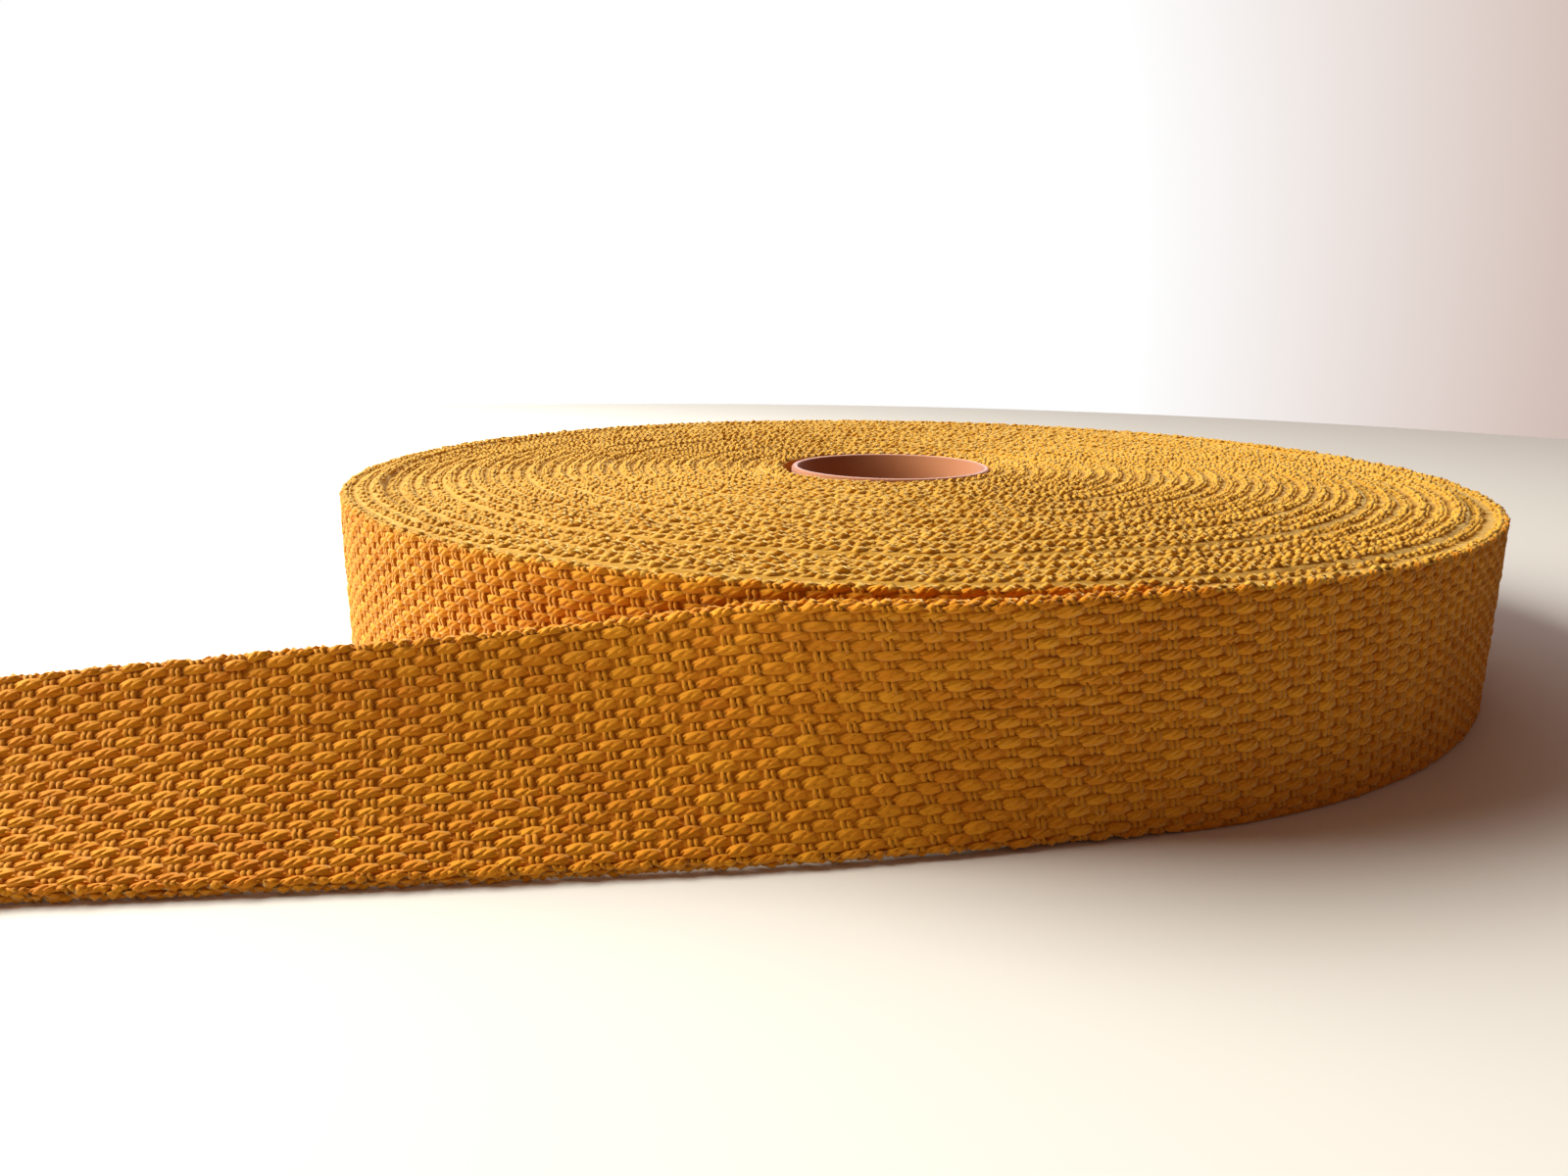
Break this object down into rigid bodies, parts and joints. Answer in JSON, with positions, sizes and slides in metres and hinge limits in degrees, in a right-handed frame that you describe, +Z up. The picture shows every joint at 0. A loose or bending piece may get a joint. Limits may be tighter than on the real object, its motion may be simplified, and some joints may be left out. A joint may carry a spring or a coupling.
{
  "type": "roll of cotton webbing",
  "caption": "Flat roll of heavy woven cotton webbing on a thin paper core, its loose end peeling off the front.",
  "frame": {"origin": "middle of the whole part's outline in plan, on the surface that it rests on", "axes": "+Z up along the roll's axis; -Y is the front, where the loose end leaves the roll; the loose end runs off towards -X, so +X is the longest side"},
  "size_m": [0.2534, 0.2046, 0.025],
  "materials": {
    "webbing": "plump twisted cotton floats, dyed golden yellow, matt",
    "paper_core": "spiral-wound grey-brown paperboard, matt"
  },
  "bodies": {
    "root": {"roll": "webbing", "loose_end": "webbing", "core": "paper_core"}
  },
  "joints": []
}
